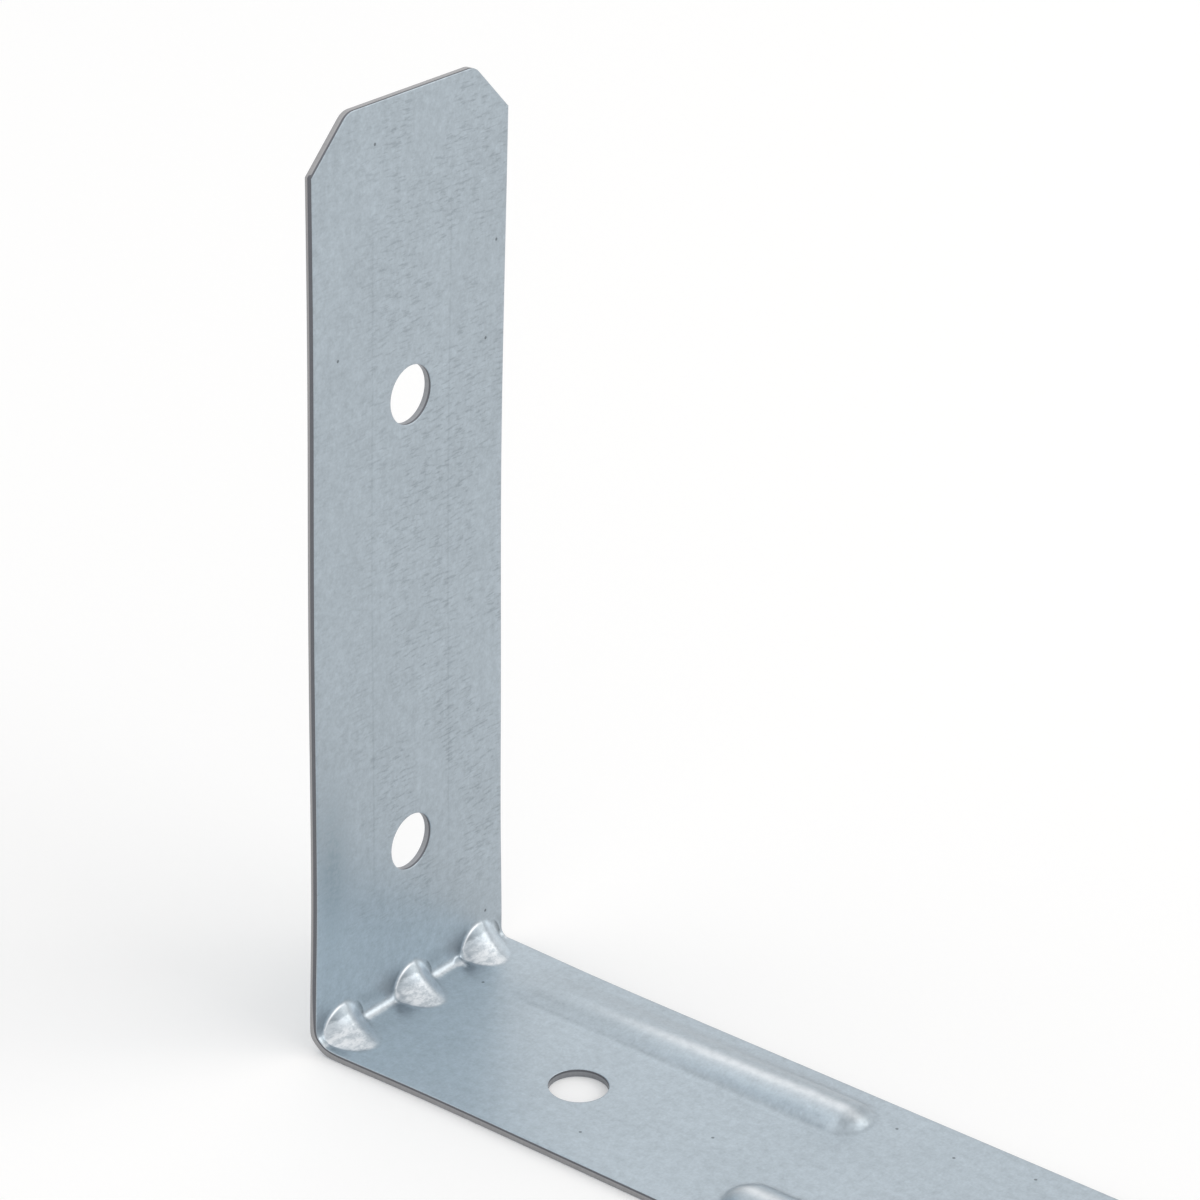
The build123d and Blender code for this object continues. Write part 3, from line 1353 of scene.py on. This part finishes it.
@dataclass(frozen=True)
class GussetPolishAndPaintedLight:
    """Where the press tool polished the gussets, with light and shade painted round them.

    The near faces' polish is partly real polish and partly a painted highlight on
    their lit side. The rims and the fold between the gussets carry painted
    highlights, the creases, the hollows between the gussets and the upper near
    faces carry painted shade, and the far faces carry painted light. Places across
    a gusset are in its half widths, places up it in shares of its climb, and lifts
    are the gusset's own. The fold is in millimetres on the blank. Polish is from 0
    to 1, a shade darkens the coat and a gain lightens it.
    """

    raised: Span = (0.0, 0.10)
    near_part: Span = (-0.40, 0.30)
    far_part: Span = (-0.05, 0.30)
    # the near faces' polish: partly real polish, partly a painted highlight on their lit side
    rubbed_up_to: Span = (0.25, 0.75)
    rubbed_unevenness: float = 0.9
    rubbed_edge: Span = (0.25, 0.75)
    mottle_share: float = 0.75
    patch_edge: Span = (0.38, 0.62)
    patch_floor: float = 0.30
    polish_up: float = 0.34
    polish_low: float = 0.62
    low_part: Span = (0.0, 0.35)
    on_short_leg: Span = (0.10, 0.25)
    # painted highlight: a thin light line along each gusset's rim
    rim: Span = (0.055, 0.035)
    rim_part: Span = (-0.45, 0.10)
    painted_rim_highlight: float = 0.80
    # painted shade in the crease at each gusset's far foot
    crease: Span = (-0.03, 0.05)
    crease_start: Span = (0.55, 0.80)
    crease_end: Span = (1.1, 1.3)
    crease_shade: float = 0.45
    # painted shade in the hollows between the gussets, above the fold
    hollow_lift: Span = (-0.30, -0.10)
    hollow_up: Span = (0.62, 0.28)
    hollow_shade: float = 0.16
    hollow_floor: float = 0.4
    # painted shade on the upper part of the near faces
    painted_upper_shade: float = 0.36
    # painted light on the far faces, stronger towards the top
    far_gain: float = 0.28
    far_top_gain: float = 0.30
    far_top: Span = (0.40, 0.75)
    # painted highlight: a light band along the fold's inside radius, between the gussets
    fold: Span = (1.38, 0.45)
    fold_clear: Span = (-0.14, -0.06)
    painted_fold_highlight: float = 0.35

    def _raised(self, spot: Spot) -> Wire:
        """Returns 1 on the near part of a gusset, and 0 off it."""
        near = 1.0 - spot.gusset_across.ramp(*self.near_part)
        return spot.gusset_lift.ramp(*self.raised) * near * spot.on_inner

    def _rubbed_low(self, spot: Spot, mottle: Wire) -> Wire:
        """Returns 1 on the lower part of a gusset, with an uneven upper edge."""
        low = 1.0 - spot.gusset_up.ramp(*self.rubbed_up_to)
        return (low + (mottle - 0.5) * self.rubbed_unevenness).ramp(*self.rubbed_edge)

    def _patches(self, mottle: Wire, fine: Wire) -> Wire:
        """Returns 1 on a well rubbed patch, and 0 on a dull one."""
        mixed = mottle * self.mottle_share + fine * (1.0 - self.mottle_share)
        return mixed.ramp(*self.patch_edge)

    def polished(self, spot: Spot, mottle: Wire, fine: Wire) -> Wire:
        """Works out the polish of the gussets' near faces, partly real polish and partly a painted
        highlight on their lit side.

        Args:
            spot: The spot to work it out for.
            mottle: The coat's mottle.
            fine: The coat's finest grain.

        Returns:
            The polish, from 0 to 1.
        """
        rubbed = self._raised(spot) * self._rubbed_low(spot, mottle)
        rubbed = rubbed * self._patches(mottle, fine).above(self.patch_floor)
        low = 1.0 - spot.gusset_up.ramp(*self.low_part)
        return rubbed * (self.polish_up + self.polish_low * low)

    def edges(self, spot: Spot, mottle: Wire, fine: Wire) -> Wire:
        """Works out the painted highlights along the gussets' rims and along the fold between
        them.

        Args:
            spot: The spot to work it out for.
            mottle: The coat's mottle.
            fine: The coat's finest grain.

        Returns:
            The polish, from 0 to 1.
        """
        # painted highlights along the rims and along the fold
        rim = spot.gusset_lift.bump(*self.rim).dimmed(spot.gusset_across.ramp(*self.rim_part))
        rim = rim * spot.gusset_up.ramp(*self.on_short_leg) * spot.on_inner
        fold = spot.along.bump(*self.fold).dimmed(spot.gusset_lift.ramp(*self.fold_clear))
        patchy = self.painted_fold_highlight + self.painted_fold_highlight * self._patches(mottle, fine)
        return (rim * self.painted_rim_highlight).at_least(fold * spot.on_inner * patchy)

    def shade(self, spot: Spot, mottle: Wire) -> Wire:
        """Works out the painted shade and painted light about the gussets: shade in their creases,
        in the hollows between them and on their upper near faces, and light on their far faces.

        Args:
            spot: The spot to work it out for.
            mottle: The coat's mottle.

        Returns:
            The factor of the coat's colour.
        """
        across, up, lift = spot.gusset_across, spot.gusset_up, spot.gusset_lift
        # painted shade in the creases
        crease = lift.bump(*self.crease) * across.ramp(*self.crease_start)
        crease = crease.dimmed(across.ramp(*self.crease_end))
        # painted shade in the hollows between the gussets
        hollow = up.bump(*self.hollow_up).dimmed(lift.ramp(*self.hollow_lift))
        dark = crease * self.crease_shade
        dark = dark + hollow * self.hollow_shade * (self.hollow_floor + mottle)
        dark = dark * up.ramp(*self.on_short_leg) * spot.on_inner
        # painted shade on the upper near faces
        unrubbed = self._raised(spot).dimmed(self._rubbed_low(spot, mottle))
        # painted light on the far faces
        far = lift.ramp(*self.raised) * across.ramp(*self.far_part) * spot.on_inner
        gain = self.far_gain + self.far_top_gain * up.ramp(*self.far_top)
        return (1.0 - dark).dimmed(self.painted_upper_shade * unrubbed) * (1.0 + far * gain)


@dataclass(frozen=True)
class RibHighlightAndShade:
    """The painted highlight along the ribs' crests, which also stands for their rubbed coat, and
    the painted shade and painted light round the ribs.

    Lengths are in millimetres, and heights are shares of the full rise. Polish is
    from 0 to 1, a shade darkens the coat and a gain lightens or darkens it.
    """

    # painted highlight along the crests, which also stands for the rubbed coat there
    crest: Span = (-0.3, 0.80)
    crest_height: Span = (0.25, 0.75)
    crest_floor: float = 0.37
    crest_unevenness: float = 0.9
    crest_end: Span = (0.0, 2.5)
    crest_end_loss: float = 0.5
    painted_crest_highlight: float = 0.75
    # painted shade at the ribs' feet
    foot: Span = (3.35, 0.38)
    foot_start: Span = (8.0, 14.0)
    foot_side: Span = (-2.6, -0.8)
    foot_shade: float = 0.13
    # painted light and shade on the near flanks: darker at the rib's start, lighter towards its
    # end
    flank: Span = (-1.9, 0.9)
    flank_end: Span = (0.0, 1.5)
    flank_run: Span = (15.0, 42.0)
    flank_gains: Span = (-0.13, 0.15)
    # painted shade at the ribs' tips
    tip_beyond: Span = (0.3, 2.0)
    tip_within: Span = (1.8, 3.4)
    tip_start: Span = (40.0, 46.0)
    tip_shade: float = 0.14

    def polished(self, spot: Spot, mottle: Wire) -> Wire:
        """Works out the painted highlight along the ribs' crests, which also stands for their
        rubbed coat.

        Args:
            spot: The spot to work it out for.
            mottle: The coat's mottle.

        Returns:
            The painted highlight, from 0 up.
        """
        # painted highlight along the crest, weaker towards the rib's ends
        crest = spot.rib_across.bump(*self.crest) * spot.rib_height.ramp(*self.crest_height)
        crest = crest * spot.on_inner * (self.crest_floor + self.crest_unevenness * mottle)
        crest = crest.dimmed(self.crest_end_loss * spot.rib_beyond.ramp(*self.crest_end))
        return crest * self.painted_crest_highlight

    def shade(self, board: Board, spot: Spot) -> Wire:
        """Works out the painted shade at the ribs' feet and tips, and the painted light and shade
        on their near flanks.

        Args:
            board: The material's board.
            spot: The spot to work it out for.

        Returns:
            The factor of the coat's colour.
        """
        across, beyond = spot.rib_across, spot.rib_beyond
        from_rib = (across * across + beyond * beyond).math("SQRT")
        # painted shade at the feet
        foot = from_rib.bump(*self.foot) * spot.along.ramp(*self.foot_start)
        foot = foot.dimmed(across.ramp(*self.foot_side))
        # painted light and shade on the near flanks
        flank = across.bump(*self.flank).dimmed(beyond.ramp(*self.flank_end)) * spot.on_inner
        gain = board.mix(spot.along.ramp(*self.flank_run), *self.flank_gains)
        # painted shade at the tips
        tip = beyond.ramp(*self.tip_beyond).dimmed(from_rib.ramp(*self.tip_within))
        tip = tip * spot.on_inner * spot.along.ramp(*self.tip_start)
        shade = (1.0 - self.foot_shade * foot) * (1.0 + flank * gain)
        return shade.dimmed(self.tip_shade * tip)


@dataclass(frozen=True)
class Smudge:
    """A stain on the coat near the fold. Lengths are in millimetres on the blank."""

    colour: Rgb = (0.28, 0.34, 0.38)
    along: Span = (-18.5, 7.5)
    across: Span = (-12.2, 2.0)
    patch_floor: float = 0.35
    patch_edge: Span = (0.35, 0.62)
    strength: float = 0.8

    def drawn(self, spot: Spot, mottle: Wire) -> Wire:
        """Draws the stain.

        Args:
            spot: The spot to draw it at.
            mottle: The coat's mottle.

        Returns:
            The stain's strength, from 0 to 1.
        """
        stain = spot.along.bump(*self.along) * spot.across.bump(*self.across)
        return stain * mottle.ramp(*self.patch_edge).above(self.patch_floor) * self.strength


@dataclass(frozen=True)
class ZincCoat:
    """The matt galvanised coat of the faces, with painted light and shade about the gussets and
    the ribs.

    A depth is how much a mark changes the plain colour, a relief how much it
    adds to the fine relief.
    """

    colour: Rgb = (0.402, 0.458, 0.503)
    # the burnished colour of the gussets' polish is also the colour of the painted highlights on
    # their rims, on the fold and on the ribs' crests
    burnished: Rgb = (0.76, 0.785, 0.81)
    roughness: float = 0.35
    burnished_roughness: float = 0.32
    metallic: float = 1.0
    cloud: Grain = Grain(9.0, 9.0, detail=3.0)
    cloud_depth: float = 0.12
    mottle: Grain = Grain(0.9, 0.9, detail=4.0, rough=0.65, through=3.0)
    mottle_depth: float = 0.45
    mottle_roughness: float = 0.12
    mottle_relief: float = 0.7
    rolled: Grain = Grain(60.0, 0.8, detail=3.0)
    rolled_depth: float = 0.06
    fine: Grain = Grain(0.30, 0.30)
    fine_depth: float = 0.25
    fine_relief: float = 0.3
    marks: MillMarks = MillMarks()
    chatter_depth: float = 0.16
    chatter_roughness: float = 0.08
    chatter_relief: float = 0.5
    line_depth: float = 0.07
    line_relief: float = 0.6
    dross: Dross = Dross()
    dross_depth: float = 0.55
    gussets: GussetPolishAndPaintedLight = GussetPolishAndPaintedLight()
    ribs: RibHighlightAndShade = RibHighlightAndShade()
    smudge: Smudge = Smudge()
    relief: float = 0.35

    def material(self) -> bpy.types.Material:
        """Builds the material.

        Returns:
            The coat's material.
        """
        made, board = empty_material("galvanised_coat")
        spot = Spot.on(board)
        cloud, mottle, rolled, fine = (
            grain.drawn(board, spot) for grain in (self.cloud, self.mottle, self.rolled, self.fine)
        )
        chatter, lines = self.marks.chattered(board, spot), self.marks.lined(spot)

        shade = 1.0 + (cloud - 0.5) * self.cloud_depth + (mottle - 0.5) * self.mottle_depth
        shade = shade + (rolled - 0.5) * self.rolled_depth + (fine - 0.5) * self.fine_depth
        shade = shade.dimmed(self.chatter_depth * chatter).dimmed(self.line_depth * lines)
        shade = shade.dimmed(self.dross_depth * self.dross.drawn(board, spot))
        # painted shade and painted light about the gussets and the ribs
        shade = shade * self.gussets.shade(spot, mottle) * self.ribs.shade(board, spot)

        # the gussets' polish, partly a painted highlight, and the painted highlights of the rims,
        # the fold and the crests
        polished = self.gussets.polished(spot, mottle, fine)
        bright = polished.at_least(self.gussets.edges(spot, mottle, fine))
        bright = bright.at_least(self.ribs.polished(spot, mottle)).within(0.0, 1.0)
        colour = board.shaded(opaque(self.colour), shade)
        colour = board.tint(self.smudge.drawn(spot, mottle), colour, opaque(self.smudge.colour))
        colour = board.tint(bright, colour, opaque(self.burnished))
        rough = self.roughness + (mottle - 0.5) * self.mottle_roughness
        rough = board.mix(
            polished, rough + chatter * self.chatter_roughness, self.burnished_roughness
        )
        height = mottle * self.mottle_relief + fine * self.fine_relief
        height = height - chatter * self.chatter_relief - lines * self.line_relief
        board.end_in_metal(colour, self.metallic, rough, height, self.relief)
        return made


@dataclass(frozen=True)
class ShearedEdge:
    """The bare cut of the sheet: a burnished band by the inner face, and torn steel below.

    Lengths are in millimetres on the blank, and the band's places are shares of
    the sheet's thickness from the outer face. The slit is the cut of the short
    leg's long edges, where the burnished band is thicker.
    """

    sheared: Rgb = (0.150, 0.155, 0.170)
    torn: Rgb = (0.395, 0.392, 0.400)
    punched: Rgb = (0.33, 0.34, 0.36)
    roughness: float = 0.5
    metallic: float = 1.0
    grain: Grain = Grain(0.25, 0.25, detail=3.0, rough=0.6, through=1 / 1.2)
    grain_shade: Span = (0.86, 1.14)
    band: Span = (0.60, 0.72)
    band_unevenness: float = 0.10
    slit_gain: float = 0.30
    slit_room: Span = (0.35, 0.20)
    slit_end: Span = (-6.0, 2.0)
    holes_within: Span = (9.0, 9.3)
    tip_room: Span = (5.5, 6.5)
    relief: float = 0.4

    def material(self, sizes: StrapSizes) -> bpy.types.Material:
        """Builds the material.

        Args:
            sizes: The strap's sizes.

        Returns:
            The cut edge's material.
        """
        made, board = empty_material("sheared_edge")
        spot = BlankSpot.on(board)
        grain = self.grain.drawn(board, spot)
        off_middle = spot.across.math("ABSOLUTE")
        slit = off_middle.ramp(*(sizes.half_width - room for room in self.slit_room))
        slit = slit.dimmed(spot.along.ramp(*self.slit_end))
        outline = off_middle.ramp(*self.holes_within)
        for from_tip in (spot.along - sizes.flat_start, sizes.long_leg - spot.along):
            outline = outline.at_least(1.0 - from_tip.ramp(*self.tip_room))
        depth = spot.depth / sizes.sheet + (grain - 0.5) * self.band_unevenness
        depth = depth + slit * self.slit_gain
        colour = board.tint(outline, opaque(self.punched), opaque(self.torn))
        colour = board.tint(depth.ramp(*self.band), colour, opaque(self.sheared))
        dark, light = self.grain_shade
        colour = board.shaded(colour, dark + (light - dark) * grain)
        board.end_in_metal(colour, self.metallic, self.roughness, grain, self.relief)
        return made


# strap


@dataclass
class Strap:
    """The whole strap tie: one folded sheet."""

    sizes: StrapSizes
    springback: Springback = field(default_factory=Springback)
    coat: ZincCoat = field(default_factory=ZincCoat)
    edge: ShearedEdge = field(default_factory=ShearedEdge)
    name: str = "strap_sheet"
    node: str = "strap"
    body: str = "root"
    material_slot: str = "galvanised_steel"

    def build(self) -> bpy.types.Object:
        """Lays out the blank and presses it.

        Returns:
            The strap.
        """
        blank = Blank(self.sizes).mesh()
        press = Press(self.sizes, self.springback)
        coat, cut = self.coat.material(), self.edge.material(self.sizes)
        return press.form(blank, self.name, coat, cut)

    def dress(self, piece: bpy.types.Object) -> None:
        """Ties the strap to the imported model.

        Args:
            piece: The strap.
        """
        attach(piece, self.body)
        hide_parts(self.node)


# studio


@dataclass(frozen=True)
class SoftBox:
    """A flat lamp that looks at a point. Lengths are in metres."""

    name: str
    place: Place
    aim: Place
    size: tuple[float, float]
    watts: float
    colour: Rgb = (1.0, 1.0, 1.0)

    def hang(self) -> bpy.types.Object:
        """Hangs the lamp.

        Returns:
            The lamp.
        """
        data = bpy.data.lights.new(self.name, "AREA")
        data.shape = "RECTANGLE"
        data.size, data.size_y = self.size
        data.energy = self.watts
        data.color = self.colour
        lamp = bpy.data.objects.new(self.name, data)
        lamp.location = self.place
        toward = Vector(self.aim) - Vector(self.place)
        lamp.rotation_euler = toward.to_track_quat("-Z", "Y").to_euler()
        bpy.context.scene.collection.objects.link(lamp)
        return lamp


@dataclass(frozen=True)
class Camera:
    """The photograph's camera, as fitted to the strap. Angles are in degrees."""

    place: Place = (0.24204, -0.28014, 0.22267)
    azimuth: float = 37.789
    elevation: float = 25.475
    roll: float = 1.361
    lens: float = 121.98
    sensor: float = 36.0
    clip: Span = (0.01, 50.0)

    def stand(self) -> bpy.types.Object:
        """Puts the camera up and makes it the scene's own.

        Returns:
            The camera.
        """
        turn, tilt, roll = (math.radians(a) for a in (self.azimuth, self.elevation, self.roll))
        back = Vector(
            (math.sin(turn) * math.cos(tilt), -math.cos(turn) * math.cos(tilt), math.sin(tilt))
        )
        level = Vector((math.cos(turn), math.sin(turn), 0.0))
        upright = back.cross(level)
        right = level * math.cos(roll) + upright * math.sin(roll)
        up = upright * math.cos(roll) - level * math.sin(roll)
        data = bpy.data.cameras.new("photo_camera")
        data.lens = self.lens
        data.sensor_width = self.sensor
        data.clip_start, data.clip_end = self.clip
        camera = bpy.data.objects.new("photo_camera", data)
        turned = Matrix((right, up, back)).transposed().to_4x4()
        camera.matrix_world = Matrix.Translation(self.place) @ turned
        bpy.context.scene.collection.objects.link(camera)
        bpy.context.scene.camera = camera
        return camera


@dataclass
class Studio:
    """The pale floor, the white room round it, the lamps and the camera."""

    camera: Camera = field(default_factory=Camera)
    floor_colour: Rgb = (0.90, 0.90, 0.90)
    floor_roughness: float = 0.9
    floor_gloss: float = 0.1
    floor_glow: float = 0.12
    white: Rgb = (1.0, 1.0, 1.0)
    floor_size: float = 12.0
    floor_drop: float = 0.00005
    room_light: float = 0.76
    lamps: tuple[SoftBox, ...] = (
        SoftBox("right_softbox", (1.40, 0.45, 1.10), (0.03, 0.0, 0.02), (1.6, 1.0), 5.5),
        SoftBox(
            "corner_softbox",
            (1.00, 1.24, 1.05),
            (0.0, 0.0, 0.0),
            (1.0, 0.9),
            3.4,
            (1.0, 0.94, 0.86),
        ),
        SoftBox("rear_softbox", (-1.20, 1.00, 1.50), (0.05, 0.0, 0.0), (1.8, 1.8), 1.45),
        SoftBox("crest_lamp", (-0.95, 1.03, 1.40), (0.035, 0.0, 0.0), (0.5, 0.5), 0.25),
        SoftBox("top_softbox", (-0.90, -0.30, 1.60), (0.04, 0.0, 0.0), (1.4, 1.4), 2.8),
    )

    @staticmethod
    def _seen(board: Board) -> Wire:
        """Returns 1 where a camera, glossy or transmission ray looks, and 0 elsewhere."""
        path = board.node("ShaderNodeLightPath")
        looks = ("Is Camera Ray", "Is Glossy Ray", "Is Transmission Ray")
        camera, glossy, through = (Wire(board, path.outputs[look]) for look in looks)
        return (camera + glossy + through).at_most(1.0)

    def lay_floor(self) -> bpy.types.Object:
        """Lays the floor under the strap.

        Returns:
            The floor.
        """
        half = self.floor_size / 2
        corners = [(-half, -half), (half, -half), (half, half), (-half, half)]
        data = bpy.data.meshes.new("floor")
        data.from_pydata([(x, y, -self.floor_drop) for x, y in corners], [], [(0, 1, 2, 3)])
        made, board = empty_material("white_paper")
        paper = board.wire(
            "ShaderNodeBsdfPrincipled",
            None,
            {
                "Base Color": opaque(self.floor_colour),
                "Roughness": self.floor_roughness,
                "Specular IOR Level": self.floor_gloss,
            },
        )
        strength = self._seen(board) * self.floor_glow
        glow = board.wire(
            "ShaderNodeEmission", None, {"Color": opaque(self.white), "Strength": strength}
        )
        surface = board.wire("ShaderNodeAddShader", None, {0: paper, 1: glow})
        board.node("ShaderNodeOutputMaterial", None, {"Surface": surface})
        data.materials.append(made)
        floor = bpy.data.objects.new("floor", data)
        bpy.context.scene.collection.objects.link(floor)
        return floor

    def light_room(self) -> None:
        """Gives the room its white look, and its own level as a light."""
        world = bpy.data.worlds.new("white_room")
        bpy.context.scene.world = world
        world.use_nodes = True
        world.node_tree.nodes.clear()
        board = Board(world.node_tree)
        strength = board.mix(self._seen(board), self.room_light, 1.0)
        room = board.wire(
            "ShaderNodeBackground", None, {"Color": opaque(self.white), "Strength": strength}
        )
        board.node("ShaderNodeOutputWorld", None, {"Surface": room})
        bpy.context.scene.view_settings.view_transform = "Standard"

    def build(self) -> None:
        """Sets the studio up."""
        self.camera.stand()
        self.lay_floor()
        self.light_room()
        for lamp in self.lamps:
            lamp.hang()


def main() -> None:
    """Builds the studio and the strap, in order."""
    logging.basicConfig(level=logging.INFO, format="%(name)s: %(message)s")
    Studio().build()
    LOG.info("studio: floor, room, lamps and camera")
    strap = Strap(StrapSizes.of_node("strap"))
    piece = strap.build()
    strap.dress(piece)
    faces = len(piece.data.polygons)
    LOG.info("%s: %d faces, %d corners", piece.name, faces, len(piece.data.vertices))


if __name__ == "__main__":
    main()
